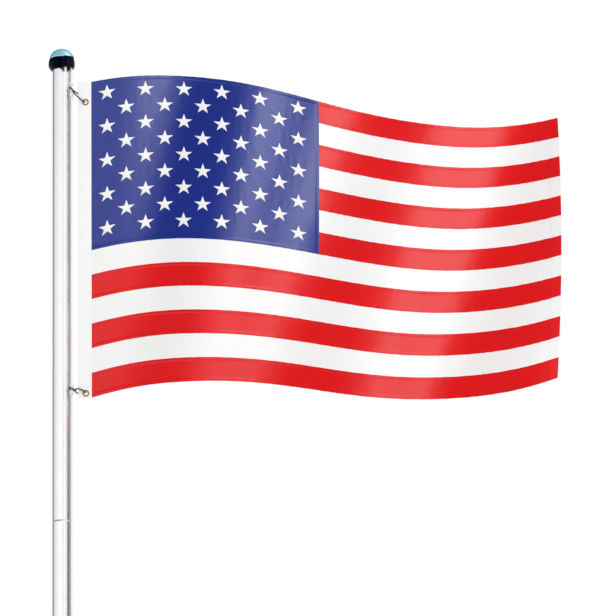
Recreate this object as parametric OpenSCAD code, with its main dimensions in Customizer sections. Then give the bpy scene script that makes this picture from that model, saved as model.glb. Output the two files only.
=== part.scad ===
// Sectional aluminium flagpole with a domed truck, a rope halyard and a sewn flag flying from it

/* [Pole] */
// Outer diameter of the pole's tube
pole_d = 50.8; // [44:0.1:64]
// Wall of the pole's tube
pole_wall = 1.5; // [1:0.1:3]
// Length of the lowest section above the ground
foot_l = 832; // [600:1:1300]
// Visible length of each middle section
section_l = 1300; // [1000:1:1500]
// Length of the top section, up into the truck
top_l = 1318; // [1250:1:1500]
// Length of the spigot that enters the section above
spigot_l = 120; // [60:1:200]
// Height of the swaged cone that shows as a groove at each joint
swage_h = 4; // [2:0.5:8]
// Thickness of the disc that closes the foot
foot_wall = 3; // [2:0.5:10]

/* [Truck] */
// Widest diameter of the truck
truck_d = 74; // [70:0.5:90]
// Height of the truck's dark body
truck_h = 32; // [28:0.5:45]
// Depth of the truck's socket over the pole
socket_l = 20; // [14:0.5:24]
// Height of the flared underside of the truck
flare_h = 18; // [14:0.5:24]
// Wall of the truck's lower lip
lip_t = 1.5; // [1:0.1:3]
// Height of the dome
dome_h = 31; // [24:0.5:45]
// Wall of the dome
dome_wall = 3; // [2:0.5:6]
// Diameter of the sheave at the bottom of its groove
groove_d = 13; // [10:0.5:22]
// Width of the sheave
sheave_t = 8; // [7.5:0.1:12]
// Diameter of the sheave's pin
pin_d = 5; // [4:0.1:7]
// Thickness of the outer cheek that carries the pin
cheek_t = 3.2; // [2:0.1:6]

/* [Halyard] */
// Diameter of the rope
rope_d = 6; // [4:0.5:7]
// Side of the pole that the halyard runs on, measured from the flag's side
halyard_side = -58; // [-80:1:-20]
// Height of the middle of the cleat
cleat_z = 1200; // [900:1:1300]
// Length of the cleat across both horns
cleat_l = 130; // [100:1:180]
// Largest diameter of a horn
horn_d = 11; // [9:0.5:16]
// Outer diameter of a knot on the halyard
knot_d = 11; // [10:0.5:14]
// Height of a knot
knot_h = 10; // [6:0.5:16]

/* [Snap hooks] */
// Diameter of the hook's wire
hook_wire = 4; // [3:0.1:4.5]
// Distance from the hook's middle line to each side
hook_b = 8; // [7:0.1:10]
// Slope of the upper hook from the rope down to the grommet
hook_pitch_upper = 45; // [25:1:47]
// Slope of the lower hook from the rope down to the grommet
hook_pitch_lower = 19; // [15:1:45]
// Turn of the upper hook about its own length
hook_tilt_upper = 35; // [-40:1:40]
// Turn of the lower hook about its own length
hook_tilt_lower = -35; // [-40:1:40]
// Length of the barrel between the eye and the hook
barrel_l = 5; // [4:0.5:8]
// Diameter of the barrel
barrel_d = 7; // [6:0.1:9]
// Diameter of the gate
gate_d = 3.2; // [2:0.1:4]

/* [Flag] */
// Height of the flag at the hoist
flag_hoist = 914; // [600:1:1000]
// Level distance from the header to the fly end
flag_run = 1290; // [1000:1:1500]
// Thickness of the cloth with its seams
cloth_t = 1.2; // [0.8:0.1:2]
// Length of the canton along the flag
canton_run = 622; // [450:1:700]
// Distance of the flag's top edge below the truck
flag_drop = 44; // [20:1:200]
// Width of the canvas header
header_w = 36; // [32:1:60]
// Thickness of the canvas header
header_t = 3; // [2:0.1:4]
// Distance of each grommet from the header's edge on the rope side
grommet_in = 20; // [14:0.5:24]
// Distance of the upper grommet below the top edge
grommet_upper = 60; // [25:1:80]
// Distance of the lower grommet above the bottom edge
grommet_lower = 12; // [11:1:80]
// Diameter of a grommet's hole
grommet_hole = 11; // [10.5:0.1:13]
// Outer diameter of a grommet
grommet_d = 19; // [17:0.1:24]
// Thickness of a grommet over both flanges
grommet_t = 4.8; // [4.4:0.1:6]
// Diameter of the circle round a star
star_d = 49; // [30:0.5:52]
// Thickness of a star
star_t = 0.6; // [0.4:0.1:1.2]

/* [Wind] */
// Depth of the slow wave along the flag
wave_depth = 83; // [0:1:160]
// How far the cloth sinks as the slow wave goes back
wave_drop = 80; // [0:1:120]
// Angle of the slow wave that the flag's length takes in
wave_turn = 233; // [90:1:360]
// Angle at which the slow wave starts at the header
wave_start = -113; // [-180:1:0]
// How far the fly end is lifted
fly_lift = 150; // [0:1:200]
// How far the fly end leans back at its top
fly_lean = 20; // [0:1:30]
// How much farther the fly end stands out at its top than at its bottom
fly_rake = 40; // [0:1:80]
// How far the fly end bulges out at mid height
fly_bow = 9; // [0:1:30]
// Depth of the ripples
ripple_depth = 38; // [0:1:45]
// Length of one ripple
ripple_l = 474; // [350:1:700]
// How far a ripple's crest moves toward the header down the flag's height
ripple_slant = 210; // [0:1:300]
// Angle at which the ripples start at the header
ripple_start = 355; // [0:1:360]
// Slope of the line along which a ripple moves the cloth
ripple_climb = 18; // [0:1:30]

/* [Hidden] */
$fn = 64;

// Clearances between pieces that seat on or run in each other
spigot_fit = 0.2;
socket_fit = 0.15;
pin_fit = 0.1;
sheave_fit = 0.2;
slot_fit = 0.4;
seat_fit = 0.1;
rope_fit = 0.3;
knot_fit = 0.3;
eye_fit = 0.8;
gate_fit = 0.3;
grommet_fit = 0.1;
hook_seat = 0.6;
seam_fit = 0.4;
star_fit = 0.7;
run_clear = 5;
header_clear = 5;
pin_clear = 1;
slot_clear = 1.2;

pole_r = pole_d / 2;
bore_r = pole_r - pole_wall;
spigot_r = bore_r - spigot_fit;
rope_r = rope_d / 2;
sections = 5;
joint_z = [for (i = [0:sections - 1]) i == 0 ? 0 : foot_l + (i - 1) * section_l];
pole_top = joint_z[sections - 1] + top_l;
truck_z = pole_top - socket_l;

// The rope hangs from both sides of the sheave, far enough out for the hooks to pass the pole
pitch_r = groove_d / 2 + rope_r;
pitch_most = max(hook_pitch_upper, hook_pitch_lower);
eye_r = (rope_r + eye_fit + hook_wire / 2) / cos(pitch_most);
leg_r = pole_r + run_clear + eye_r + hook_wire / 2;
sheave_x = sqrt(leg_r * leg_r - pitch_r * pitch_r);
sheave_lift = 10;
sheave_z = truck_z + sheave_lift;
groove_r = rope_r + sheave_fit;
rope_proud = 1;
flange_r = pitch_r + rope_r - rope_proud;
leg_x = sheave_x * cos(halyard_side) - pitch_r * sin(halyard_side);
leg_y = sheave_x * sin(halyard_side) + pitch_r * cos(halyard_side);

// Truck
truck_r = truck_d / 2;
truck_lip_r = pole_r + socket_fit + lip_t;
flare_start = 30;
flare_steps = 10;
shoulder = 2.5;
shoulder_steps = 5;
dome_lip = 3;
dome_r = truck_r - shoulder;
dome_inner_r = dome_r - dome_wall;
boss_share = dome_lip / (dome_h - dome_wall);
boss_r = dome_inner_r * sqrt(1 - boss_share * boss_share) - 2 * seat_fit;
dome_steps = 12;
slot_w = sheave_t + 2 * slot_fit;
slot_r = pitch_r + rope_r + slot_clear;
lug_wall = 2.5;
lug_fit = 0.4;
lug_half = slot_r + lug_wall;
lug_x = sheave_x + slot_w / 2 + cheek_t;
lug_corner = 8;
lug_roof = 6;
lug_drop = 3;

// Cleat
belay_x = sheave_x + rope_d + rope_fit;
stem_r = pitch_r - rope_r - rope_fit;
stem_half = 14;
base_x = sheave_x - rope_r - rope_fit;
base_rim = 4;
base_foot = 12;
base_r = stem_r + base_rim;
base_half = stem_half + base_foot;
horn_x = belay_x + rope_r + rope_fit + horn_d / 2;
horn_tip_share = 0.6;
horn_tip_d = horn_tip_share * horn_d;
horn_steps = 6;

// Snap hooks
function barrel_reach(pitch) = (eye_r + barrel_l) * cos(pitch) + barrel_d / 2 * sin(pitch);
header_s = max(barrel_reach(hook_pitch_upper), barrel_reach(hook_pitch_lower)) + header_clear;
grommet_s = header_s + grommet_in;
bend_inner_r = hook_b - hook_wire / 2;
hook_tilt_most = max(abs(hook_tilt_upper), abs(hook_tilt_lower));
bend_half = grommet_t / 2 / cos(hook_tilt_most);
bend_back = bend_inner_r - sqrt(bend_inner_r * bend_inner_r - bend_half * bend_half);
hook_off = grommet_hole / 2 - hook_wire / 2 - bend_back - hook_seat;
barrel_grip = 1;
bar_grip = 0.5;
bend_draw = 0.2;
hook_back = eye_r + barrel_l - barrel_grip - hook_wire / 2 + hook_b;
function hook_front(pitch) = grommet_s / cos(pitch) - hook_off - hook_b;
knot_edge = 1;
function knot_reach(pitch) = (knot_d / 2 + barrel_d / 2 * sin(pitch)) / cos(pitch);
function knot_gap(pitch) = knot_reach(pitch) * sin(pitch) + barrel_d / 2 * cos(pitch) + knot_fit;

// Flag
flag_top = truck_z - flag_drop;
flag_bottom = flag_top - flag_hoist;
flag_x = leg_x + header_s + header_w;
stripes = 13;
canton_stripes = 7;
canton_u = canton_run / flag_run;
ripple_ease = 0.2;
lean_bow = 0.3;
star_rows = 9;
star_cols = 11;
star_points = 5;
star_waist = 0.382;
star_lead_u = 0.069;
star_tail_u = 0.091;
star_lead_v = 0.081;
star_tail_v = 0.109;
cloth_step = 32;
canton_step = 14;
canton_rows = 14;
grommet_upper_z = flag_top - grommet_upper;
grommet_lower_z = flag_bottom + grommet_lower;
eye_upper_z = grommet_upper_z + grommet_s * tan(hook_pitch_upper);
eye_lower_z = grommet_lower_z + grommet_s * tan(hook_pitch_lower);

alu = "#d9dadc";
black = "#14161f";
dome_blue = "#8fcfe6";
zinc = "#a9abae";
rope_white = "#f1f0ec";
canvas = "#f4f2ec";
brass = "#c9a44c";
red = "#d81824";
white = "#f7f7f7";
navy = "#2b2f83";

// Shape of the cloth: u runs along the flag from 0 to 1, v down it from 0 to 1
function slow_wave(u) = sin(wave_turn * u + wave_start) - sin(wave_start);
function lean(u) = fly_lean * ((1 + lean_bow) * u - lean_bow * u * u);
function ease(u) = u < ripple_ease ? (1 - cos(180 * u / ripple_ease)) / 2 : 1;
function ripple(u, v) =
  ripple_depth * ease(u) * sin(360 * (flag_run * u + ripple_slant * (v - 0.5)) / ripple_l + ripple_start);
function cloth_point(u, v, off) =
  let (h = flag_hoist * (0.5 - v), r = ripple(u, v), w = slow_wave(u))
  [
    flag_x + flag_run * u + u * (fly_rake * (0.5 - v) + 4 * fly_bow * v * (1 - v)),
    leg_y + wave_depth * w + h * sin(lean(u)) + r * cos(ripple_climb) + off,
    flag_top - flag_hoist / 2 - wave_drop * w + fly_lift * u + h * cos(lean(u)) + r * sin(ripple_climb)
  ];

// A piece of cloth between two places along the flag and two down it
module cloth_panel(u0, u1, v0, v1, cols, rows) {
  layer = (cols + 1) * (rows + 1);
  function at(side, i, j) = side * layer + i * (rows + 1) + j;
  function strip(a, b, c, d) = [[a, b, c], [a, c, d]];
  points = [
    for (side = [-1, 1], i = [0:cols], j = [0:rows])
      cloth_point(u0 + (u1 - u0) * i / cols, v0 + (v1 - v0) * j / rows, side * cloth_t / 2)
  ];
  faces = [
    for (i = [0:cols - 1], j = [0:rows - 1])
      each strip(at(0, i, j), at(0, i + 1, j), at(0, i + 1, j + 1), at(0, i, j + 1)),
    for (i = [0:cols - 1], j = [0:rows - 1])
      each strip(at(1, i, j), at(1, i, j + 1), at(1, i + 1, j + 1), at(1, i + 1, j)),
    for (i = [0:cols - 1])
      each strip(at(1, i, 0), at(1, i + 1, 0), at(0, i + 1, 0), at(0, i, 0)),
    for (i = [0:cols - 1])
      each strip(at(0, i, rows), at(0, i + 1, rows), at(1, i + 1, rows), at(1, i, rows)),
    for (j = [0:rows - 1])
      each strip(at(1, 0, j), at(0, 0, j), at(0, 0, j + 1), at(1, 0, j + 1)),
    for (j = [0:rows - 1])
      each strip(at(0, cols, j), at(1, cols, j), at(1, cols, j + 1), at(0, cols, j + 1))
  ];
  polyhedron(points = points, faces = faces, convexity = 10);
}

// A five-pointed star that follows the cloth on its front (-1) or its back (1)
module star(u, v, side) {
  n = 2 * star_points;
  inner = side * (cloth_t / 2 + star_fit);
  outer = inner + side * star_t;
  function rim(k) = star_d / 2 * (k % 2 == 0 ? 1 : star_waist);
  function corner(k, off) =
    cloth_point(u + rim(k) * sin(180 * k / star_points) / flag_run,
                v - rim(k) * cos(180 * k / star_points) / flag_hoist, off);
  points = [
    cloth_point(u, v, outer), for (k = [0:n - 1]) corner(k, outer),
    cloth_point(u, v, inner), for (k = [0:n - 1]) corner(k, inner)
  ];
  front_faces = [
    for (k = [0:n - 1]) let (a = 1 + k, b = 1 + (k + 1) % n)
      each [[0, a, b], [n + 1, n + 1 + b, n + 1 + a], [n + 1 + a, n + 1 + b, b], [n + 1 + a, b, a]]
  ];
  faces = side < 0 ? front_faces : [for (f = front_faces) [f[2], f[1], f[0]]];
  polyhedron(points = points, faces = faces, convexity = 4);
}

// Where a row or column lies across the canton, as a share of it
function star_share(i, count, lead, tail) = lead + (1 - lead - tail) * i / (count - 1);

module stars(side) {
  color(white)
    for (row = [0:star_rows - 1], col = [0:star_cols - 1])
      if ((row + col) % 2 == 0)
        star(canton_u * star_share(col, star_cols, star_lead_u, star_tail_u),
             canton_stripes / stripes * star_share(row, star_rows, star_lead_v, star_tail_v), side);
}

module canton() {
  seam_u = seam_fit / flag_run;
  seam_v = seam_fit / flag_hoist / 2;
  color(navy)
    cloth_panel(seam_u, canton_u - seam_u / 2, 0, canton_stripes / stripes - seam_v,
                ceil(canton_run / canton_step), canton_rows);
}

// Stripe number i, counted from the top, red when odd and short beside the canton
module stripe(i) {
  short = i <= canton_stripes;
  seam_u = seam_fit / flag_run;
  seam_v = seam_fit / flag_hoist / 2;
  start_u = short ? canton_u + seam_u / 2 : seam_u;
  top_v = (i - 1) / stripes + (i == 1 ? 0 : seam_v);
  bottom_v = i / stripes - (i == stripes ? 0 : seam_v);
  color(i % 2 == 1 ? red : white)
    cloth_panel(start_u, 1, top_v, bottom_v, ceil((1 - start_u) * flag_run / cloth_step), 1);
}

// Canvas band along the hoist, with a hole for each grommet
module header() {
  color(canvas)
    difference() {
      translate([leg_x + header_s, leg_y - header_t / 2, flag_bottom])
        cube([header_w, header_t, flag_hoist]);
      for (z = [grommet_upper_z, grommet_lower_z])
        translate([leg_x + grommet_s, leg_y, z])
          rotate([90, 0, 0])
            cylinder(d = (grommet_hole + grommet_d) / 2, h = 2 * header_t, center = true);
    }
}

// Rolled brass eyelet: a neck through the header with a flange on each face
module grommet(z) {
  neck_r = (grommet_hole + grommet_d) / 4 - grommet_fit;
  flange_in = header_t / 2 + grommet_fit;
  half = grommet_t / 2;
  color(brass)
    translate([leg_x + grommet_s, leg_y, z])
      rotate([90, 0, 0])
        rotate_extrude()
          polygon([
            [grommet_hole / 2, -flange_in], [grommet_hole / 2, flange_in],
            [grommet_hole / 2 + half - flange_in, half], [neck_r, half], [grommet_d / 2, flange_in],
            [neck_r, flange_in], [neck_r, -flange_in], [grommet_d / 2, -flange_in],
            [neck_r, -half], [grommet_hole / 2 + half - flange_in, -half]
          ]);
}

// Frame of a hook: its eye on the rope, its length along x toward the grommet
module on_hook(eye_z, pitch) {
  translate([leg_x, leg_y, eye_z])
    rotate([0, pitch, 0])
      children();
}

module wire_bend() {
  rotate_extrude(angle = 180)
    translate([hook_b, 0])
      circle(d = hook_wire - bend_draw);
}

module snap_hook(eye_z, pitch, tilt) {
  color(zinc)
    on_hook(eye_z, pitch) {
      rotate_extrude()
        translate([eye_r, 0])
          circle(d = hook_wire);
      rotate([tilt, 0, 0]) {
        translate([eye_r, 0, 0])
          rotate([0, 90, 0])
            cylinder(d = barrel_d, h = barrel_l);
        translate([hook_back, 0, 0])
          rotate([0, 0, 90])
            wire_bend();
        translate([hook_back - bar_grip, -hook_b, 0])
          rotate([0, 90, 0])
            cylinder(d = hook_wire, h = hook_front(pitch) - hook_back + 2 * bar_grip);
        translate([hook_front(pitch), 0, 0])
          rotate([0, 0, -90])
            wire_bend();
      }
    }
}

module gate(eye_z, pitch, tilt) {
  color(zinc)
    on_hook(eye_z, pitch)
      rotate([tilt, 0, 0])
        translate([hook_back + gate_fit, hook_b, 0])
          rotate([0, 90, 0])
            cylinder(d = gate_d, h = hook_front(pitch) - hook_back - 2 * gate_fit);
}

// A knot above the hook's eye and one below it, round the flag leg of the halyard
module hitch(eye_z, pitch) {
  bulge = knot_d / 2;
  core = rope_r + knot_fit;
  color(rope_white)
    for (side = [-1, 1])
      translate([leg_x, leg_y, eye_z + side * (knot_gap(pitch) + knot_h / 2)])
        rotate_extrude()
          polygon([
            [core, -knot_h / 2], [bulge - knot_edge, -knot_h / 2], [bulge, -knot_h / 4],
            [bulge, knot_h / 4], [bulge - knot_edge, knot_h / 2], [core, knot_h / 2]
          ]);
}

// Pole section number i, with a swaged spigot for the next one except at the top
module pole_section(i) {
  low = joint_z[i - 1];
  high = i < sections ? joint_z[i] : pole_top;
  floor_z = i == 1 ? foot_wall : low;
  outside = i < sections
    ? [[pole_r, low], [pole_r, high - swage_h], [spigot_r, high], [spigot_r, high + spigot_l]]
    : [[pole_r, low], [pole_r, high]];
  inside = i < sections
    ? [[spigot_r - pole_wall, high + spigot_l], [spigot_r - pole_wall, high],
       [bore_r, high - swage_h], [bore_r, floor_z]]
    : [[bore_r, high], [bore_r, floor_z]];
  foot = i == 1 ? [[0, foot_wall], [0, 0]] : [];
  color(alu)
    rotate_extrude()
      polygon(concat(outside, inside, foot));
}

// Frame of the halyard: x points out from the pole on the halyard's side
module on_halyard(z) {
  rotate([0, 0, halyard_side])
    translate([0, 0, z])
      children();
}

// The truck's outline from its lower lip up to its top edge
function flare(t) = [
  truck_lip_r + (truck_r - truck_lip_r) * (sin(t) - sin(flare_start)) / (1 - sin(flare_start)),
  flare_h * (cos(flare_start) - cos(t)) / cos(flare_start)
];

// Plan of the lug round the sheave, with rounded outer corners
module lug_outline() {
  inner = lug_half - lug_corner;
  square([lug_x - lug_corner, lug_half]);
  mirror([0, 1])
    square([lug_x - lug_corner, lug_half]);
  translate([0, -inner])
    square([lug_x, 2 * inner]);
  for (side = [-1, 1])
    translate([lug_x - lug_corner, side * inner])
      circle(r = lug_corner);
}

module truck_body() {
  bowl = [for (i = [0:flare_steps]) flare(flare_start + (90 - flare_start) * i / flare_steps)];
  edge = [
    for (i = [1:shoulder_steps]) let (s = i / shoulder_steps)
      [truck_r - shoulder * s * s, flare_h + (truck_h - flare_h) * s]
  ];
  top = [[boss_r, truck_h], [boss_r, truck_h + dome_lip], [0, truck_h + dome_lip]];
  socket = [[0, socket_l], [pole_r + socket_fit, socket_l], [pole_r + socket_fit, 0]];
  lug_low = -sheave_lift - lug_drop;
  lug_h = slot_r + lug_roof - lug_low;
  color(black)
    difference() {
      union() {
        translate([0, 0, truck_z])
          rotate_extrude()
            polygon(concat(bowl, edge, top, socket));
        on_halyard(sheave_z)
          translate([0, 0, lug_low])
            linear_extrude(lug_h)
              difference() {
                lug_outline();
                circle(r = pole_r + lug_fit);
              }
      }
      on_halyard(sheave_z)
        translate([sheave_x - slot_w / 2, 0, 0]) {
          rotate([0, 90, 0])
            cylinder(r = slot_r, h = slot_w);
          translate([0, -slot_r, -2 * slot_r])
            cube([slot_w, 2 * slot_r, 2 * slot_r]);
        }
      on_halyard(sheave_z)
        translate([pole_r, 0, 0])
          rotate([0, 90, 0])
            cylinder(r = pin_d / 2 + pin_fit, h = lug_x);
    }
}

module truck_dome() {
  crown = [
    for (i = [0:dome_steps]) let (t = 90 * i / dome_steps)
      [dome_r * cos(t), dome_h * sin(t)]
  ];
  hollow = [
    for (i = [dome_steps:-1:0]) let (t = 90 * i / dome_steps)
      [dome_inner_r * cos(t), (dome_h - dome_wall) * sin(t)]
  ];
  color(dome_blue)
    translate([0, 0, truck_z + truck_h])
      rotate_extrude()
        polygon(concat(crown, hollow));
}

module sheave() {
  color(zinc)
    on_halyard(sheave_z)
      translate([sheave_x, 0, 0])
        rotate([0, 90, 0])
          rotate_extrude()
            difference() {
              translate([pin_d / 2 + sheave_fit, -sheave_t / 2])
                square([flange_r - pin_d / 2 - sheave_fit, sheave_t]);
              translate([pitch_r, 0])
                circle(r = groove_r);
              translate([pitch_r, -groove_r])
                square(2 * groove_r);
            }
}

module sheave_pin() {
  color(zinc)
    on_halyard(sheave_z)
      translate([pole_r + pin_clear, 0, 0])
        rotate([0, 90, 0])
          cylinder(d = pin_d, h = lug_x - pole_r - pin_clear);
}

module halyard_leg(side) {
  color(rope_white)
    on_halyard(cleat_z - stem_half)
      translate([sheave_x, side * pitch_r, 0])
        cylinder(r = rope_r, h = sheave_z - cleat_z + stem_half);
}

// Half a turn of the rope in the halyard's plane, over the top (1) or under the bottom (-1)
module rope_turn(side) {
  rotate([90, 0, 90])
    rotate([0, 0, side > 0 ? 0 : 180])
      rotate_extrude(angle = 180)
        translate([pitch_r, 0])
          circle(r = rope_r);
}

module halyard_top_bend() {
  color(rope_white)
    on_halyard(sheave_z)
      translate([sheave_x, 0, 0])
        rope_turn(1);
}

// The halyard passes under the cleat's stem, and its tail takes one full turn outside that
module halyard_belay() {
  color(rope_white)
    on_halyard(cleat_z) {
      translate([sheave_x, 0, -stem_half])
        rope_turn(-1);
      translate([belay_x, 0, 0]) {
        for (side = [-1, 1]) {
          translate([0, 0, side * stem_half])
            rope_turn(side);
          translate([0, side * pitch_r, -stem_half])
            cylinder(r = rope_r, h = 2 * stem_half);
        }
      }
    }
}

// A bar outline with round ends, standing upright
module round_bar(r, half) {
  translate([-half, -r])
    square([2 * half, 2 * r]);
  for (side = [-1, 1])
    translate([side * half, 0])
      circle(r = r);
}

module cleat() {
  horn_profile = [
    for (i = [0:horn_steps]) let (t = i / horn_steps)
      [horn_d / 2 - (horn_d - horn_tip_d) / 2 * t * t, (cleat_l - horn_tip_d) / 2 * t]
  ];
  color(zinc)
    difference() {
      on_halyard(cleat_z) {
        rotate([0, 90, 0])
          linear_extrude(base_x)
            round_bar(base_r, base_half);
        rotate([0, 90, 0])
          linear_extrude(horn_x)
            round_bar(stem_r, stem_half);
        for (side = [0, 1])
          translate([horn_x, 0, 0])
            mirror([0, 0, side]) {
              rotate_extrude()
                polygon(concat([[0, 0]], horn_profile, [[0, (cleat_l - horn_tip_d) / 2]]));
              translate([0, 0, (cleat_l - horn_tip_d) / 2])
                sphere(d = horn_tip_d);
            }
      }
      translate([0, 0, cleat_z - cleat_l])
        cylinder(r = pole_r + seat_fit, h = 2 * cleat_l);
    }
}

pole_section(1);  // pole_section_1
pole_section(2);  // pole_section_2
pole_section(3);  // pole_section_3
pole_section(4);  // pole_section_4
pole_section(5);  // pole_section_5
truck_body();
truck_dome();
sheave();
sheave_pin();
halyard_leg(1);  // halyard_flag_leg
halyard_leg(-1);  // halyard_return_leg
halyard_top_bend();
halyard_belay();
cleat();
hitch(eye_upper_z, hook_pitch_upper);  // hitch_upper
hitch(eye_lower_z, hook_pitch_lower);  // hitch_lower
snap_hook(eye_upper_z, hook_pitch_upper, hook_tilt_upper);  // snap_hook_upper
snap_hook(eye_lower_z, hook_pitch_lower, hook_tilt_lower);  // snap_hook_lower
gate(eye_upper_z, hook_pitch_upper, hook_tilt_upper);  // gate_upper
gate(eye_lower_z, hook_pitch_lower, hook_tilt_lower);  // gate_lower
header();
grommet(grommet_upper_z);  // grommet_top
grommet(grommet_lower_z);  // grommet_bottom
canton();
stars(-1);  // stars_front
stars(1);  // stars_back
stripe(1);  // stripe_1
stripe(2);  // stripe_2
stripe(3);  // stripe_3
stripe(4);  // stripe_4
stripe(5);  // stripe_5
stripe(6);  // stripe_6
stripe(7);  // stripe_7
stripe(8);  // stripe_8
stripe(9);  // stripe_9
stripe(10);  // stripe_10
stripe(11);  // stripe_11
stripe(12);  // stripe_12
stripe(13);  // stripe_13
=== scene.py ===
import math

import bpy
import numpy as np
from mathutils import Matrix, Vector


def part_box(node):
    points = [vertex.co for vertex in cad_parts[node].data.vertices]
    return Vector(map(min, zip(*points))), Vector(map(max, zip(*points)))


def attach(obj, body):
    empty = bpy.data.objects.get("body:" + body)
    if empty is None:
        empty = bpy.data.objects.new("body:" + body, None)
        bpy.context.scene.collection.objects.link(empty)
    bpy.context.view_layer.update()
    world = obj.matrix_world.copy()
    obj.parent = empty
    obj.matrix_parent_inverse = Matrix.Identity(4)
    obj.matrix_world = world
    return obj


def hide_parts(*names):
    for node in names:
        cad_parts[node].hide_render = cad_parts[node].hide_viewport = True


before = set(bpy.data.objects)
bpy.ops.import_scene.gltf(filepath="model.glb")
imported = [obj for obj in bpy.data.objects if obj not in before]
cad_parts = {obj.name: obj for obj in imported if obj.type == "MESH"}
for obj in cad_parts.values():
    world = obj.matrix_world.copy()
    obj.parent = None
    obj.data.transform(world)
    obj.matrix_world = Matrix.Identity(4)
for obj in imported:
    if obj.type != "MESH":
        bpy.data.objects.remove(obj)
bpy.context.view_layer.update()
scene = bpy.context.scene
scene.view_settings.view_transform = "Standard"
mm = 0.001
print("frame loaded with", len(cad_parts), "nodes")


def hexToLinear(hexColour):
    channels = [int(hexColour[i:i + 2], 16) / 255 for i in (1, 3, 5)]
    return [c / 12.92 if c <= 0.04045 else ((c + 0.055) / 1.055) ** 2.4 for c in channels] + [1.0]


def addNode(tree, kind, settings=None, links=None):
    node = tree.nodes.new(kind)
    for key, value in (settings or {}).items():
        if isinstance(key, int) or key in node.inputs:
            node.inputs[key].default_value = value
        else:
            setattr(node, key, value)
    for socket, source in (links or {}).items():
        tree.links.new(source, node.inputs[socket])
    return node


def bandScale(period):  # Wave Texture scale whose bands repeat every so many metres
    return math.pi / (10 * period)


def newFinish(name, colour, metallic, roughness, **sockets):
    material = bpy.data.materials.new(name)
    material.use_nodes = True
    tree = material.node_tree
    shader = tree.nodes["Principled BSDF"]
    shader.inputs["Base Color"].default_value = hexToLinear(colour)
    shader.inputs["Metallic"].default_value = metallic
    shader.inputs["Roughness"].default_value = roughness
    for socket, value in sockets.items():
        shader.inputs[socket.replace("_", " ")].default_value = value
    return material, tree, shader


def surfacePattern(tree, shader, tones, relief, gloss=None):  # each starts with the pattern that drives it
    pattern, colour, shade = tones  # two near tones
    mix = addNode(tree, "ShaderNodeMix", {"data_type": "RGBA", 6: hexToLinear(colour), 7: hexToLinear(shade)},
                  {0: pattern})
    tree.links.new(mix.outputs[2], shader.inputs["Base Color"])
    pattern, strength, depth = relief
    bump = addNode(tree, "ShaderNodeBump", {"Strength": strength, "Distance": depth}, {"Height": pattern})
    tree.links.new(bump.outputs["Normal"], shader.inputs["Normal"])
    if gloss:
        pattern, low, high = gloss  # roughness from low to high
        ranged = addNode(tree, "ShaderNodeMapRange", {"To Min": low, "To Max": high}, {"Value": pattern})
        tree.links.new(ranged.outputs["Result"], shader.inputs["Roughness"])


def addMesh(name, verts, faces, finish, uvs=None, uvName="", sharp=50):
    mesh = bpy.data.meshes.new(name)
    mesh.from_pydata(verts, [], faces)
    if uvs is not None:
        layer = mesh.uv_layers.new(name=uvName)
        corners = np.zeros(len(mesh.loops), dtype=np.int32)
        mesh.loops.foreach_get("vertex_index", corners)
        layer.data.foreach_set("uv", np.asarray(uvs, dtype=np.float32)[corners].ravel())
    mesh.materials.append(finish)
    mesh.shade_smooth()
    mesh.set_sharp_from_angle(angle=math.radians(sharp))
    piece = bpy.data.objects.new(name, mesh)
    scene.collection.objects.link(piece)
    return piece


def gather(blocks):  # many small meshes into one
    verts, faces, uvs = np.zeros((0, 3)), [], np.zeros((0, 2))
    for v, f, u in blocks:
        start = len(verts)
        faces += [tuple(i + start for i in face) for face in f]
        verts, uvs = np.concatenate([verts, v]), np.concatenate([uvs, u])
    return verts, faces, uvs


# camera: looks up at the flag from the ground in front of the pole
cameraSet = {
    "aim": (0.6767, 0.0, 5.3271),  # metres, the middle of the picture
    "distance": 13.5,
    "pitch": 17.153,  # degrees upward
    "roll": 0.883,  # keeps the pole upright in the picture
    "mmPerPixel": 2.747,  # at the aim
    "pixels": 616,
    "sensor": 36.0,
    "clipEnd": 300.0,
}


def makeCamera():
    s = cameraSet
    pitch, roll = math.radians(s["pitch"]), math.radians(s["roll"])
    forward = Vector((0, math.cos(pitch), math.sin(pitch)))
    right = Vector((1, 0, 0))
    up = right.cross(forward)
    side = right * math.cos(roll) - up * math.sin(roll)
    top = right * math.sin(roll) + up * math.cos(roll)
    data = bpy.data.cameras.new("camera")
    data.sensor_width = s["sensor"]
    data.lens = s["sensor"] * s["distance"] / (s["pixels"] * s["mmPerPixel"] * mm)
    data.clip_end = s["clipEnd"]
    camera = bpy.data.objects.new("camera", data)
    turn = Matrix((side, top, -forward)).transposed().to_4x4()
    camera.matrix_world = Matrix.Translation(Vector(s["aim"]) - forward * s["distance"]) @ turn
    scene.collection.objects.link(camera)
    scene.camera = camera


makeCamera()
print("camera set, lens", round(scene.camera.data.lens), "mm")

# studio: white backdrop, pale floor, even surround and one large key on the right
studioSet = {
    "even": 0.78,  # light from all round
    "share": 0.4,  # and how much of the mirrored surround joins it
    "backdrop": "#ffffff",
    "floor": "#e9e9e7",
    "floorSize": 400.0,
    # what shiny surfaces mirror, by direction: a bright right side, a bright horizon, dark edges, a white backdrop
    "rightSide": [(0.4, 0.05), (0.55, 0.35), (0.7, 1.0), (0.85, 1.8), (0.93, 1.8), (0.97, 0.08)],  # left to right
    "leftSide": [(0.02, 0.8), (0.25, 1.0), (0.93, 1.0), (0.97, 0.08)],  # left to right, only below the horizon
    "horizon": [(0.68, 1.13), (0.72, 0.0)],  # low to high
    "edges": [(0.55, 1.0), (0.68, 0.3), (0.88, 0.12), (0.94, 1.0)],  # front to back
    "behind": [(0.91, 0.0), (0.97, 1.0)],  # front to back
    "lampAim": (0.6, 0.0, 5.5),
    "lamps": {
        "keySoftbox": {"azimuth": 62, "elevation": 40, "distance": 5.5, "size": (3.0, 3.0), "watts": 35},
    },
}


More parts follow.
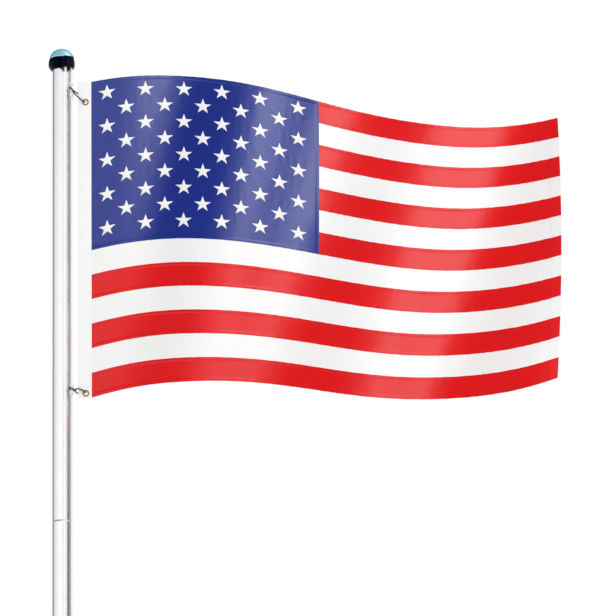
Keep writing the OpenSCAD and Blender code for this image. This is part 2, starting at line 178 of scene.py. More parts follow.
def makeStudio():
    s = studioSet
    world = bpy.data.worlds.new("studioSurround")
    scene.world = world
    world.cycles.sampling_method = "NONE"  # so that shiny surfaces see only the surround meant for them
    world.use_nodes = True
    tree = world.node_tree
    tree.nodes.clear()
    path = addNode(tree, "ShaderNodeLightPath")
    place = addNode(tree, "ShaderNodeTexCoord")
    axes = addNode(tree, "ShaderNodeSeparateXYZ", links={0: place.outputs["Generated"]})
    levels = {}
    for name, axis in (("rightSide", "X"), ("leftSide", "X"), ("horizon", "Z"), ("edges", "Y"), ("behind", "Y")):
        share = addNode(tree, "ShaderNodeMapRange", {"From Min": -1.0, "From Max": 1.0},
                        {"Value": axes.outputs[axis]})
        ramp = addNode(tree, "ShaderNodeValToRGB", links={"Fac": share.outputs["Result"]})
        stops = ramp.color_ramp.elements
        while len(stops) < len(s[name]):
            stops.new(0.5)
        for stop, (position, level) in zip(stops, s[name]):
            stop.position = position
            stop.color = (level, level, level, 1)
        levels[name] = ramp.outputs["Color"]
    low = addNode(tree, "ShaderNodeMath", {"operation": "MULTIPLY"}, {0: levels["horizon"], 1: levels["leftSide"]})
    front = addNode(tree, "ShaderNodeMath", {"operation": "MAXIMUM"}, {0: levels["rightSide"], 1: low.outputs[0]})
    framed = addNode(tree, "ShaderNodeMath", {"operation": "MULTIPLY"}, {0: front.outputs[0], 1: levels["edges"]})
    around = addNode(tree, "ShaderNodeMath", {"operation": "MAXIMUM"}, {0: framed.outputs[0], 1: levels["behind"]})
    soft = addNode(tree, "ShaderNodeMath", {"operation": "MULTIPLY_ADD", 1: s["share"], 2: s["even"]},
                   {0: around.outputs[0]})
    even = addNode(tree, "ShaderNodeBackground", links={"Color": soft.outputs[0]})
    mirrored = addNode(tree, "ShaderNodeBackground", links={"Color": around.outputs[0]})
    white = addNode(tree, "ShaderNodeBackground", {"Color": hexToLinear(s["backdrop"])})
    lit = addNode(tree, "ShaderNodeMixShader", links={
        0: path.outputs["Is Glossy Ray"], 1: even.outputs[0], 2: mirrored.outputs[0]})
    seen = addNode(tree, "ShaderNodeMath", {"operation": "MAXIMUM"}, {
        0: path.outputs["Is Camera Ray"], 1: path.outputs["Is Transmission Ray"]})
    both = addNode(tree, "ShaderNodeMixShader", links={0: seen.outputs[0], 1: lit.outputs[0], 2: white.outputs[0]})
    addNode(tree, "ShaderNodeOutputWorld", links={"Surface": both.outputs[0]})

    half = s["floorSize"] / 2
    corners = [(-half, -half, 0), (half, -half, 0), (half, half, 0), (-half, half, 0)]
    finish, tree, shader = newFinish("matteFloorPaint", s["floor"], 0.0, 0.9)  # dull even pale ground
    floor = addMesh("floor", corners, [(0, 1, 2, 3)], finish)

    for name, lamp in s["lamps"].items():
        azimuth, elevation = math.radians(lamp["azimuth"]), math.radians(lamp["elevation"])
        away = Vector((math.sin(azimuth) * math.cos(elevation), -math.cos(azimuth) * math.cos(elevation),
                       math.sin(elevation)))
        data = bpy.data.lights.new(name, "AREA")
        data.shape = "RECTANGLE"
        data.size, data.size_y = lamp["size"]
        data.energy = lamp["watts"]
        light = bpy.data.objects.new(name, data)
        light.location = Vector(s["lampAim"]) + away * lamp["distance"]
        light.rotation_euler = (-away).to_track_quat("-Z", "Y").to_euler()
        light.visible_camera = False
        scene.collection.objects.link(light)


makeStudio()
print("studio set")

# pole: drawn tube, satin anodised; its draw lines are made coarser than they are so that they show
poleSet = {"colour": "#f8f9fa", "shade": "#f0f1f3", "roughness": (0.22, 0.28), "drawn": 0.8,
           "drawLine": 0.7 * mm, "drawRun": 90 * mm, "drawRelief": (0.12, 0.05 * mm), "cloud": 71.4 * mm}


def anodisedAluminium():  # soft silver mirror with faint lines along the tube from drawing
    s = poleSet
    finish, tree, shader = newFinish("anodisedAluminium", s["colour"], 1.0, s["roughness"][0], Anisotropic=s["drawn"])
    place = addNode(tree, "ShaderNodeTexCoord")
    fit = addNode(tree, "ShaderNodeMapping", {"Scale": (1 / s["drawLine"], 1 / s["drawLine"], 1 / s["drawRun"])},
                  {"Vector": place.outputs["Object"]})
    lines = addNode(tree, "ShaderNodeTexNoise", {"Scale": 1.0, "Detail": 3.0}, {"Vector": fit.outputs["Vector"]})
    cloud = addNode(tree, "ShaderNodeTexNoise", {"Scale": 1 / s["cloud"], "Detail": 4.0},
                    {"Vector": place.outputs["Object"]})
    surfacePattern(tree, shader, (cloud.outputs["Fac"], s["colour"], s["shade"]),
                   (lines.outputs["Fac"], *s["drawRelief"]), (lines.outputs["Fac"], *s["roughness"]))
    return finish


# truck: moulded black body under a pale blue dome
truckSet = {"body": "#030408", "bodyShade": "#05060d", "bodySheen": "#2c3f96", "bodyRoughness": (0.26, 0.34),
            "grit": 1.4 * mm, "gritRelief": (0.1, 0.06 * mm), "flow": 30 * mm, "flowRelief": (0.05, 0.4 * mm),
            "dome": "#9cdff3", "domeShade": "#8cd3ec", "domeRoughness": 0.2, "coatRoughness": 0.04,
            "rings": 28, "turns": 96, "bead": 0.5 * mm, "wall": 3 * mm}


def mouldedBlack():  # deep black satin moulding with a slight orange peel and a blue cast
    s = truckSet
    finish, tree, shader = newFinish("mouldedBlackPlastic", s["body"], 0.0, s["bodyRoughness"][0],
                                     Specular_IOR_Level=0.3, Specular_Tint=hexToLinear(s["bodySheen"]))
    place = addNode(tree, "ShaderNodeTexCoord")
    peel = addNode(tree, "ShaderNodeTexNoise", {"Scale": 1 / s["grit"], "Detail": 2.0},
                   {"Vector": place.outputs["Object"]})
    cloud = addNode(tree, "ShaderNodeTexNoise", {"Scale": 1 / s["flow"], "Detail": 3.0},
                    {"Vector": place.outputs["Object"]})
    surfacePattern(tree, shader, (cloud.outputs["Fac"], s["body"], s["bodyShade"]),
                   (peel.outputs["Fac"], *s["gritRelief"]), (cloud.outputs["Fac"], *s["bodyRoughness"]))
    return finish


def pearlBlue():  # pale blue moulding with pearl in it and a clear coat, brighter where the light runs over it
    s = truckSet
    finish, tree, shader = newFinish("pearlBlueAcrylic", s["dome"], 0.25, s["domeRoughness"], Coat_Weight=1.0,
                                     Coat_Roughness=s["coatRoughness"])
    place = addNode(tree, "ShaderNodeTexCoord")
    cloud = addNode(tree, "ShaderNodeTexNoise", {"Scale": 1 / s["flow"], "Detail": 3.0},
                    {"Vector": place.outputs["Object"]})
    surfacePattern(tree, shader, (cloud.outputs["Fac"], s["dome"], s["domeShade"]),
                   (cloud.outputs["Fac"], *s["flowRelief"]))
    return finish


def domeShell():  # a hollow half ball with a small bead round its rim
    s = truckSet
    low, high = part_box("truck_dome")
    centre = ((low.x + high.x) / 2, (low.y + high.y) / 2)
    radius, height, wall = (high.x - low.x) / 2, high.z - low.z, s["wall"]
    tilt = np.linspace(0, math.pi / 2, s["rings"])
    outer = [(radius * math.cos(t), height * math.sin(t)) for t in tilt[:-1]]
    inner = [((radius - wall) * math.cos(t), (height - wall) * math.sin(t)) for t in tilt[-2::-1]]
    profile = [(radius - s["bead"], 0.0), (radius, s["bead"])] + outer[2:]
    verts, faces = [], []
    for r, z in profile + inner:
        for k in range(s["turns"]):
            a = 2 * math.pi * k / s["turns"]
            verts.append((centre[0] + r * math.cos(a), centre[1] + r * math.sin(a), low.z + z))
    top, under = len(verts), len(verts) + 1
    verts += [(centre[0], centre[1], low.z + height), (centre[0], centre[1], low.z + height - wall)]
    n, rows = s["turns"], len(profile) + len(inner)
    split = len(profile) - 1
    for i in range(rows):
        j = (i + 1) % rows
        for k in range(n):
            m = (k + 1) % n
            if i == split:  # the crown and its hollow close to a point each
                faces.append((i * n + k, i * n + m, top))
                faces.append((j * n + m, j * n + k, under))
            else:
                faces.append((i * n + k, i * n + m, j * n + m, j * n + k))
    piece = addMesh("truckDome", verts, faces, pearlBlue())
    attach(piece, "pole")
    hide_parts("truck_dome")


# rope: braided polyester, one loop from the truck to the cleat and one turn round the cleat
ropeSet = {"colour": "#fbfbfb", "shade": "#efefee", "roughness": 0.78, "soil": 33.3 * mm, "yarn": 1.1 * mm,
           "yarnRelief": (0.3, 0.2 * mm), "step": 2.5 * mm, "sides": 16, "strands": 4, "braid": 10 * mm,
           "braidDepth": 0.18,  # share of the rope's radius
           "belayOut": 6.3 * mm, "stemHalf": 14 * mm,  # the turn round the cleat
           "twine": 1.1 * mm, "twineTurns": 4.0, "twineSteps": 110, "twineSides": 10, "knot": 10 * mm}


def braidedPolyester():  # matte white with crossing strands and a soft sheen
    s = ropeSet
    finish, tree, shader = newFinish("braidedPolyester", s["colour"], 0.0, s["roughness"], Sheen_Weight=0.15,
                                     Specular_IOR_Level=0.3)
    lay = addNode(tree, "ShaderNodeUVMap", {"uv_map": "ropeLay"})
    yarns = addNode(tree, "ShaderNodeTexWave", {"Scale": bandScale(s["yarn"]), "bands_direction": "DIAGONAL",
                                                "Distortion": 0.6}, {"Vector": lay.outputs["UV"]})
    soil = addNode(tree, "ShaderNodeTexNoise", {"Scale": 1 / s["soil"], "Detail": 4.0}, {"Vector": lay.outputs["UV"]})
    surfacePattern(tree, shader, (soil.outputs["Fac"], s["colour"], s["shade"]),
                   (yarns.outputs["Fac"], *s["yarnRelief"]))
    return finish


def tube(centres, sideways, upright, radius, sides, closed, braid=0):
    # rings of points about a line; sideways and upright span each ring
    count = len(centres)
    steps = np.linalg.norm(np.diff(centres, axis=0), axis=1)
    along = np.concatenate([[0], np.cumsum(steps)])
    angle = np.arange(sides) * 2 * np.pi / sides
    grow = np.ones((count, sides))
    if braid:
        lay = 2 * np.pi * along[:, None] / ropeSet["braid"]
        left = np.cos(ropeSet["strands"] * angle[None] + lay)
        right = np.cos(ropeSet["strands"] * angle[None] - lay)
        grow = 1 - braid * (1 - np.maximum(left, right)) / 2
    ring = sideways[:, None] * np.cos(angle)[None, :, None] + upright[:, None] * np.sin(angle)[None, :, None]
    verts = (centres[:, None] + ring * (radius * grow)[:, :, None]).reshape(-1, 3)
    uvs = np.stack([np.repeat(along, sides), np.tile(angle * radius, count)], axis=1)
    faces = []
    for i in range(count if closed else count - 1):
        j = (i + 1) % count
        for k in range(sides):
            m = (k + 1) % sides
            faces.append((i * sides + k, j * sides + k, j * sides + m, i * sides + m))
    if not closed:
        faces.append(tuple(range(sides)))
        faces.append(tuple((count - 1) * sides + k for k in range(sides))[::-1])
    return verts, faces, uvs


def ropeLoop(name, middle, across, outward, half, low, high, radius, finish):
    # up on one side, over the top, down on the other and round the bottom
    s = ropeSet
    rise = np.arange(low, high, s["step"])
    arc = np.linspace(0, np.pi, int(np.pi * half / s["step"]) + 2)[:-1]
    bend = np.concatenate([np.zeros(len(rise)), arc, np.full(len(rise), np.pi), arc + np.pi])
    height = np.concatenate([rise, np.full(len(arc), high), rise[::-1] + (high - rise[-1]),
                             np.full(len(arc), low)])
    facing = np.cos(bend)[:, None] * across + np.sin(bend)[:, None] * np.array((0, 0, 1.0))
    centres = middle + facing * half
    centres[:, 2] = height + np.sin(bend) * half
    verts, faces, uvs = tube(centres, facing, np.tile(outward, (len(bend), 1)), radius, s["sides"], True,
                             s["braidDepth"])
    piece = addMesh(name, verts, faces, finish, uvs, "ropeLay")
    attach(piece, "pole")
    return piece


def makeHalyard(finish):
    s = ropeSet
    low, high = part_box("halyard_flag_leg")
    otherLow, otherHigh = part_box("halyard_return_leg")
    first = np.array((low + high) / 2)
    second = np.array((otherLow + otherHigh) / 2)
    across = first - second
    half = np.linalg.norm(across) / 2
    across = across / np.linalg.norm(across)
    middle = (first + second) / 2
    middle[2] = 0
    outward = middle / np.linalg.norm(middle)
    radius = (high.x - low.x) / 2
    loop = ropeLoop("halyardLoop", middle, across, outward, half, low.z, high.z, radius, finish)
    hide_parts("halyard_flag_leg", "halyard_return_leg", "halyard_top_bend")
    turn = ropeLoop("halyardBelay", middle + outward * s["belayOut"], across, outward, half, low.z,
                    low.z + 2 * s["stemHalf"], radius, finish)
    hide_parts("halyard_belay")


def makeWhipping(node, name, finish):  # twine wound round the rope above and below a hook's eye
    s = ropeSet
    low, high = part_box(node)
    x, y = (low.x + high.x) / 2, (low.y + high.y) / 2
    lay = (high.x - low.x) / 2 - s["twine"]
    blocks = []
    for start in (low.z, high.z - s["knot"]):
        t = np.linspace(0, 1, s["twineSteps"])
        turn = 2 * np.pi * s["twineTurns"] * t
        z = start + s["twine"] + (s["knot"] - 2 * s["twine"]) * t
        radial = np.stack([np.cos(turn), np.sin(turn), 0 * t], axis=1)
        centres = np.stack([x + lay * radial[:, 0], y + lay * radial[:, 1], z], axis=1)
        upright = np.tile(np.array((0, 0, 1.0)), (len(t), 1))
        blocks.append(tube(centres, radial, upright, s["twine"], s["twineSides"], False))
    verts, faces, uvs = gather(blocks)
    piece = addMesh(name, verts, faces, finish, uvs, "ropeLay")
    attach(piece, "hoist")
    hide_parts(node)


# hooks, gates, sheave and screws: zinc-plated steel; pin: black oxide steel; grommets: brass; cleat: cast aluminium
metalSet = {
    "zincPlatedSteel": {  # grey plating with faint spangle, its colour darkened to a painted shade that stands in for the dark surroundings it mirrors
        "colour": "#5a5c62", "shade": "#44464c", "roughness": (0.2, 0.36), "patch": 5 * mm, "grain": 1.0 * mm,
        "relief": 0.08},
    "rolledBrass": {  # warm yellow, browner where it has tarnished
        "colour": "#b8934c", "shade": "#82632d", "roughness": (0.18, 0.34), "patch": 6 * mm, "grain": 1.0 * mm,
        "relief": 0.06},
    "castAluminium": {  # dull silver with the grain of a sand mould
        "colour": "#c0c1c3", "shade": "#a8aaad", "roughness": (0.38, 0.52), "patch": 12 * mm, "grain": 1.6 * mm,
        "relief": 0.35},
    "blackOxideSteel": {  # nearly black oxide film
        "colour": "#17181c", "shade": "#0f1014", "roughness": (0.3, 0.42), "patch": 5 * mm, "grain": 1.0 * mm,
        "relief": 0.06},
    "grainDepth": 0.1 * mm,  # the grains are drawn coarser than they are so that they show
}


def patchyMetal(name):  # tone and gloss drift from patch to patch, over a fine grain
    s = metalSet[name]
    finish, tree, shader = newFinish(name, s["colour"], 1.0, s["roughness"][0])
    place = addNode(tree, "ShaderNodeTexCoord")
    patches = addNode(tree, "ShaderNodeTexNoise", {"Scale": 1 / s["patch"], "Detail": 4.0},
                      {"Vector": place.outputs["Object"]})
    grain = addNode(tree, "ShaderNodeTexNoise", {"Scale": 1 / s["grain"], "Detail": 2.0},
                    {"Vector": place.outputs["Object"]})
    surfacePattern(tree, shader, (patches.outputs["Fac"], s["colour"], s["shade"]),
                   (grain.outputs["Fac"], s["relief"], metalSet["grainDepth"]),
                   (patches.outputs["Fac"], *s["roughness"]))
    return finish


def dress(finish, *nodes):
    for node in nodes:
        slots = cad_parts[node].data.materials
        slots.clear()
        slots.append(finish)


# cleat's screws: round heads with a slot
screwSet = {"head": 3.2 * mm, "rise": 1.6 * mm, "slot": 0.5 * mm, "slotFloor": 0.55, "tip": 0.02, "apart": 32 * mm,
            "inward": 3.3 * mm, "rings": 5, "turns": 24}  # inward: from the rope's middle to the cleat's foot


def makeScrews(finish):  # one above and one below in the cleat's foot
    s = screwSet
    low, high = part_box("cleat")
    legLow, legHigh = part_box("halyard_flag_leg")
    otherLow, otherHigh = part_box("halyard_return_leg")
    middle = np.array((legLow + legHigh + otherLow + otherHigh) / 4)
    middle[2] = 0
    outward = middle / np.linalg.norm(middle)
    across = np.array((-outward[1], outward[0], 0))
    seat = np.linalg.norm(middle) - s["inward"]
    verts, faces = [], []
    for side in (-1, 1):
        centre = outward * seat + np.array((0, 0, (low.z + high.z) / 2 + side * s["apart"]))
        base = len(verts)
        for i in range(s["rings"]):
            t = math.pi / 2 * i / (s["rings"] - 1)
            for k in range(s["turns"]):
                a = 2 * math.pi * k / s["turns"]
                r = s["head"] * max(math.cos(t), s["tip"])
                y, z = r * math.cos(a), r * math.sin(a)
                lift = s["rise"] * math.sin(t)
                if abs(y) < s["slot"]:  # the driver's slot
                    lift *= s["slotFloor"]
                verts.append(centre + across * y + np.array((0, 0, z)) + outward * lift)
        n = s["turns"]
        for i in range(s["rings"] - 1):
            for k in range(n):
                m = (k + 1) % n
                faces.append((base + i * n + k, base + i * n + m, base + (i + 1) * n + m, base + (i + 1) * n + k))
        faces.append(tuple(base + k for k in range(n))[::-1])
        faces.append(tuple(base + (s["rings"] - 1) * n + k for k in range(n)))
    piece = addMesh("cleatScrews", verts, faces, finish)
    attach(piece, "pole")


# header: white cotton canvas folded double, sewn along both edges
headerSet = {
    "colour": "#fcfcfc", "shade": "#f6f6f5", "roughness": 0.92, "cloud": 25 * mm,
    "thread": 1.3 * mm, "threadRelief": (0.5, 0.25 * mm),
    "rows": (4.0 * mm, 31.2 * mm, 34.2 * mm), "stitchPitch": 5 * mm, "stitch": (3.8 * mm, 0.9 * mm, 0.35 * mm),
    "hole": 7.4 * mm, "holeTurns": 40, "punchReach": 10 * mm, "step": 8 * mm, "endFold": 0.55,
    # thickness across the band, in mm and share: a rounded fold, then a dip under each row of stitches
    "section": [(0, 0.05), (0.3, 0.5), (0.9, 0.82), (2.4, 1.0), (4.0, 0.78), (5.6, 1.0), (12, 1.0), (18, 1.0),
                (24, 1.0), (29.6, 1.0), (31.2, 0.8), (32.7, 0.95), (34.2, 0.75), (35.4, 0.72), (36.0, 0.5)],
}


def cottonCanvas():  # dull white plain weave, threads drawn about twice as coarse as they are so that they show
    s = headerSet
    finish, tree, shader = newFinish("cottonCanvas", s["colour"], 0.0, s["roughness"], Specular_IOR_Level=0.2,
                                     Sheen_Weight=0.1)
    place = addNode(tree, "ShaderNodeTexCoord")
    warp = addNode(tree, "ShaderNodeTexWave", {"Scale": bandScale(s["thread"]), "bands_direction": "X",
                                               "Distortion": 0.4}, {"Vector": place.outputs["Object"]})
    weft = addNode(tree, "ShaderNodeTexWave", {"Scale": bandScale(s["thread"]), "bands_direction": "Z",
                                               "Distortion": 0.4}, {"Vector": place.outputs["Object"]})
    weave = addNode(tree, "ShaderNodeMath", {"operation": "MULTIPLY"},
                    {0: warp.outputs["Fac"], 1: weft.outputs["Fac"]})
    cloud = addNode(tree, "ShaderNodeTexNoise", {"Scale": 1 / s["cloud"], "Detail": 4.0},
                    {"Vector": place.outputs["Object"]})
    surfacePattern(tree, shader, (cloud.outputs["Fac"], s["colour"], s["shade"]),
                   (weave.outputs[0], *s["threadRelief"]))
    return finish


def stitches(points, along, across, outward, length, width, rise):
    # one small closed lozenge for each stitch, turned so that its faces look outward
    across = across * np.sign(np.sum(np.cross(along, across) * outward, axis=-1, keepdims=True))
    verts = np.stack([points - along * length / 2, points + along * length / 2, points - across * width / 2,
                      points + across * width / 2, points + outward * rise, points - outward * rise], axis=1)
    sides = [(0, 2, 4), (2, 1, 4), (1, 3, 4), (3, 0, 4), (2, 0, 5), (1, 2, 5), (3, 1, 5), (0, 3, 5)]
    faces = [tuple(6 * i + k for k in side) for i in range(len(points)) for side in sides]
    return verts.reshape(-1, 3), faces


def makeHeader(finish):
    s = headerSet
    low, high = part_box("header")
    width, half, y = high.x - low.x, (high.y - low.y) / 2, (low.y + high.y) / 2
    places, shares = np.array(s["section"]).T
    across = places / places[-1] * width
    thick = shares * half
    z = np.linspace(low.z, high.z, int((high.z - low.z) / s["step"]) + 1)
    rowDip = np.ones(len(z))
    rowDip[0] = rowDip[-1] = s["endFold"]
    nz, nx = len(z), len(across)
    puff = 1 - 0.05 * (1 + np.sin(z * 190 + np.sin(z * 57)))  # slight swelling, every 33 mm or so
    grid = []
    for sign in (-1, 1):
        gx = np.tile(low.x + across, (nz, 1))
        gy = y + sign * (rowDip * puff)[:, None] * thick[None]
        grid.append(np.stack([gx, gy, np.tile(z[:, None], (1, nx))], axis=-1).reshape(-1, 3))
    verts = np.concatenate(grid)
    faces = []
    layer = nz * nx
    for i in range(nz - 1):
        for k in range(nx - 1):
            a, b, c, d = i * nx + k, i * nx + k + 1, (i + 1) * nx + k + 1, (i + 1) * nx + k
            faces.append((a, b, c, d))
            faces.append((layer + d, layer + c, layer + b, layer + a))
    for i in range(nz - 1):
        for k in (0, nx - 1):
            a, b = i * nx + k, (i + 1) * nx + k
            rim = (a, b, layer + b, layer + a)
            faces.append(rim if k == 0 else rim[::-1])
    for k in range(nx - 1):
        for i in (0, nz - 1):
            a, b = i * nx + k, i * nx + k + 1
            rim = (a, layer + a, layer + b, b)
            faces.append(rim if i == 0 else rim[::-1])
    piece = addMesh("headerBand", verts, faces, finish)
    for node in ("grommet_top", "grommet_bottom"):  # a hole for each grommet's neck
        gLow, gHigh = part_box(node)
        centre = (gLow + gHigh) / 2
        turns = s["holeTurns"]
        ends = []
        for sign in (-1, 1):
            for k in range(turns):
                a = 2 * math.pi * k / turns
                ends.append((centre.x + s["hole"] * math.cos(a), y + sign * s["punchReach"],
                             centre.z + s["hole"] * math.sin(a)))
        sides = [(k, (k + 1) % turns, turns + (k + 1) % turns, turns + k) for k in range(turns)]
        sides += [tuple(range(turns))[::-1], tuple(range(turns, 2 * turns))]
        punch = addMesh("punch", ends, sides, finish)
        cut = piece.modifiers.new("hole", "BOOLEAN")
        cut.operation, cut.solver, cut.object = "DIFFERENCE", "EXACT", punch
        bpy.context.view_layer.update()
        punched = bpy.data.meshes.new_from_object(piece.evaluated_get(bpy.context.evaluated_depsgraph_get()))
        piece.modifiers.clear()
        piece.data = punched
        bpy.data.objects.remove(punch)
    # rows of thread on both faces, clear of the folded ends
    heights = np.arange(low.z + 6 * mm, high.z - 5 * mm, s["stitchPitch"])
    each = np.ones((len(heights), 1))
    blocks = []
    for row in s["rows"]:
        dip = np.interp(row, across, thick)
        for sign in (-1, 1):
            centres = np.stack([np.full(len(heights), low.x + row), np.full(len(heights), y + sign * dip), heights],
                               axis=1)
            verts, faces = stitches(centres, each * (0, 0, 1.0), each * (1.0, 0, 0), each * (0, sign * 1.0, 0),
                                    *s["stitch"])
            blocks.append((verts, faces, np.zeros((len(verts), 2))))
    thread = addMesh("headerThread", *gather(blocks)[:2], finish)
    for part in (piece, thread):
        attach(part, "flag")
    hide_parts("header")


# flag: woven polyester panels sewn together, blown to the right; the shape repeats the solids' own values
flagSet = {
    "run": 1290 * mm, "cantonRun": 622 * mm, "stripes": 13, "cantonStripes": 7,
    "waveDepth": 83 * mm, "waveDrop": 80 * mm, "waveTurn": 233, "waveStart": -113,
    "flyLift": 150 * mm, "flyLean": 20, "leanBow": 0.3, "flyRake": 40 * mm, "flyBow": 9 * mm,
    "rippleDepth": 38 * mm, "rippleLength": 474 * mm, "rippleSlant": 210 * mm, "rippleStart": 355,
    "rippleClimb": 18, "rippleEase": 0.2,
    "half": 0.3 * mm, "fold": 0.3 * mm,  # half the cloth's thickness, and what a fold adds on each face
    "seam": 8 * mm, "hem": 11 * mm, "flyHem": 26 * mm, "foldEdge": 0.3 * mm, "gap": 0.05 * mm,
    "pucker": 0.5 * mm, "puckerLength": 31 * mm, "puckerFade": 12 * mm, "step": 6 * mm,
    "stitchPitch": 6 * mm, "stitch": (4.4 * mm, 1.0 * mm, 0.3 * mm),
    "seamRows": (0.82, 0.2), "flyRows": (0.12, 0.4, 0.68, 0.94),  # rows of thread, as shares of a seam or hem
    # colour, shade and specular level of each dye
    "red": ("#e6040c", "#dd030a", 0.42), "white": ("#f8f8f8", "#f2f2f2", 0.42), "navy": ("#112a8e", "#0e2583", 0.7),
    "roughness": 0.25, "slub": 111 * mm, "thread": 1.6 * mm, "threadRelief": (0.25, 0.12 * mm),
}
headerLow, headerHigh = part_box("header")
flagX, flagY, flagTop = headerHigh.x, (headerLow.y + headerHigh.y) / 2, headerHigh.z
flagHoist = headerHigh.z - headerLow.z


def clothPoint(u, v):  # u runs along the flag and v down it, both from 0 to 1
    s = flagSet
    start = math.radians(s["waveStart"])
    wave = np.sin(np.radians(s["waveTurn"]) * u + start) - math.sin(start)
    lean = np.radians(s["flyLean"]) * ((1 + s["leanBow"]) * u - s["leanBow"] * u * u)
    ease = np.where(u < s["rippleEase"], (1 - np.cos(np.pi * u / s["rippleEase"])) / 2, 1)
    turn = 2 * np.pi * (s["run"] * u + s["rippleSlant"] * (v - 0.5)) / s["rippleLength"]
    ripple = s["rippleDepth"] * ease * np.sin(turn + math.radians(s["rippleStart"]))
    climb = math.radians(s["rippleClimb"])
    height = flagHoist * (0.5 - v)
    return np.stack([
        flagX + s["run"] * u + u * (s["flyRake"] * (0.5 - v) + 4 * s["flyBow"] * v * (1 - v)),
        flagY + s["waveDepth"] * wave + height * np.sin(lean) + ripple * math.cos(climb),
        flagTop - flagHoist / 2 - s["waveDrop"] * wave + s["flyLift"] * u + height * np.cos(lean)
        + ripple * math.sin(climb),
    ], axis=-1)


def clothFrame(u, v):  # unit steps along and down the cloth, and the normal out of its front
    small = 1e-4
    along = clothPoint(u + small, v) - clothPoint(u - small, v)
    down = clothPoint(u, v + small) - clothPoint(u, v - small)
    along /= np.linalg.norm(along, axis=-1, keepdims=True)
    down /= np.linalg.norm(down, axis=-1, keepdims=True)
    front = -np.cross(along, down)
    return along, down, front / np.linalg.norm(front, axis=-1, keepdims=True)


def clothPucker(u, v):  # small gathers that fade away from each seam
    s = flagSet
    fromSeam = np.abs((v * s["stripes"] + 0.5) % 1 - 0.5) * flagHoist / s["stripes"]
    turn = 2 * np.pi * u * s["run"] / s["puckerLength"]
    shape = np.sin(turn + 3 * np.sin(turn * 0.23) + 9 * np.round(v * s["stripes"]))  # uneven, and no two seams alike
    return s["pucker"] * shape * np.exp(-fromSeam / s["puckerFade"])


def linesAcross(start, end, folds):  # even steps, with a close pair of lines at each fold's edge
    s = flagSet
    count = max(2, int(round((end - start) / s["step"])) + 1)
    pairs = [fold + side for fold in folds for side in (-s["foldEdge"], s["foldEdge"]) if start < fold + side < end]
    return np.unique(np.round(np.concatenate([np.linspace(start, end, count), pairs]), 7))


def clothPanel(x0, x1, y0, y1, foldsX, foldsY):
    # a closed thin panel; x along the flag and y down it in metres; folds are (from, to) spans of double cloth
    s = flagSet
    xs = linesAcross(x0, x1, [e for span in foldsX for e in span])
    ys = linesAcross(y0, y1, [e for span in foldsY for e in span])
    u, v = np.meshgrid(xs / s["run"], ys / flagHoist, indexing="ij")
    thick = np.full(u.shape, s["half"])
    for low, high in foldsX:
        thick = np.where((u * s["run"] > low) & (u * s["run"] < high), s["half"] + s["fold"], thick)
    for low, high in foldsY:
        thick = np.where((v * flagHoist > low) & (v * flagHoist < high), s["half"] + s["fold"], thick)
    front = clothFrame(u, v)[2]
    middle = clothPoint(u, v) + front * clothPucker(u, v)[..., None]
    near, far = middle + front * thick[..., None], middle - front * thick[..., None]
    nx, ny = u.shape
    layer = nx * ny
    verts = np.concatenate([near.reshape(-1, 3), far.reshape(-1, 3)])
    flat = np.stack([u.ravel() * s["run"], v.ravel() * flagHoist], axis=1)
    index = np.arange(layer).reshape(nx, ny)
    a, b, c, d = index[:-1, :-1], index[1:, :-1], index[1:, 1:], index[:-1, 1:]
    faces = np.concatenate([np.stack([a, d, c, b], axis=-1).reshape(-1, 4),
                            np.stack([a, b, c, d], axis=-1).reshape(-1, 4) + layer])
    rim = np.concatenate([index[:, 0], index[-1, 1:], index[::-1, -1][1:], index[0, ::-1][1:-1]])
    turn = np.roll(rim, -1)
    faces = np.concatenate([faces, np.stack([rim, turn, turn + layer, rim + layer], axis=-1)])
    return verts, [tuple(f) for f in faces.tolist()], np.concatenate([flat, flat])


def seamStitches(x, y, downward):  # thread on both faces at places given along and down the flag
    s = flagSet
    u, v = x / s["run"], y / flagHoist
    along, down, front = clothFrame(u, v)
    step, cross = (down, along) if downward else (along, down)
    flat = np.repeat(np.stack([x, y], axis=1), 6, axis=0)  # six corners a stitch
    blocks = []
    for sign in (1, -1):
        lift = front * (sign * (s["half"] + s["fold"]))
        points = clothPoint(u, v) + front * clothPucker(u, v)[..., None] + lift
        blocks.append((*stitches(points, step, cross, front * sign, *s["stitch"]), flat))
    return gather(blocks)


def wovenPolyester(dye):  # smooth satin cloth; threads drawn about four times as coarse as they are
    s = flagSet
    colour, shade, gloss = s[dye]
    finish, tree, shader = newFinish("wovenPolyester" + dye.title(), colour, 0.0, s["roughness"],
                                     Specular_IOR_Level=gloss)
    lay = addNode(tree, "ShaderNodeUVMap", {"uv_map": "clothLay"})
    warp = addNode(tree, "ShaderNodeTexWave", {"Scale": bandScale(s["thread"]), "bands_direction": "X",
                                               "Distortion": 0.3}, {"Vector": lay.outputs["UV"]})
    weft = addNode(tree, "ShaderNodeTexWave", {"Scale": bandScale(s["thread"]), "bands_direction": "Y",
                                               "Distortion": 0.3}, {"Vector": lay.outputs["UV"]})
    weave = addNode(tree, "ShaderNodeMath", {"operation": "MULTIPLY"},
                    {0: warp.outputs["Fac"], 1: weft.outputs["Fac"]})
    slub = addNode(tree, "ShaderNodeTexNoise", {"Scale": 1 / s["slub"], "Detail": 5.0}, {"Vector": lay.outputs["UV"]})
    surfacePattern(tree, shader, (slub.outputs["Fac"], colour, shade), (weave.outputs[0], *s["threadRelief"]))
    return finish


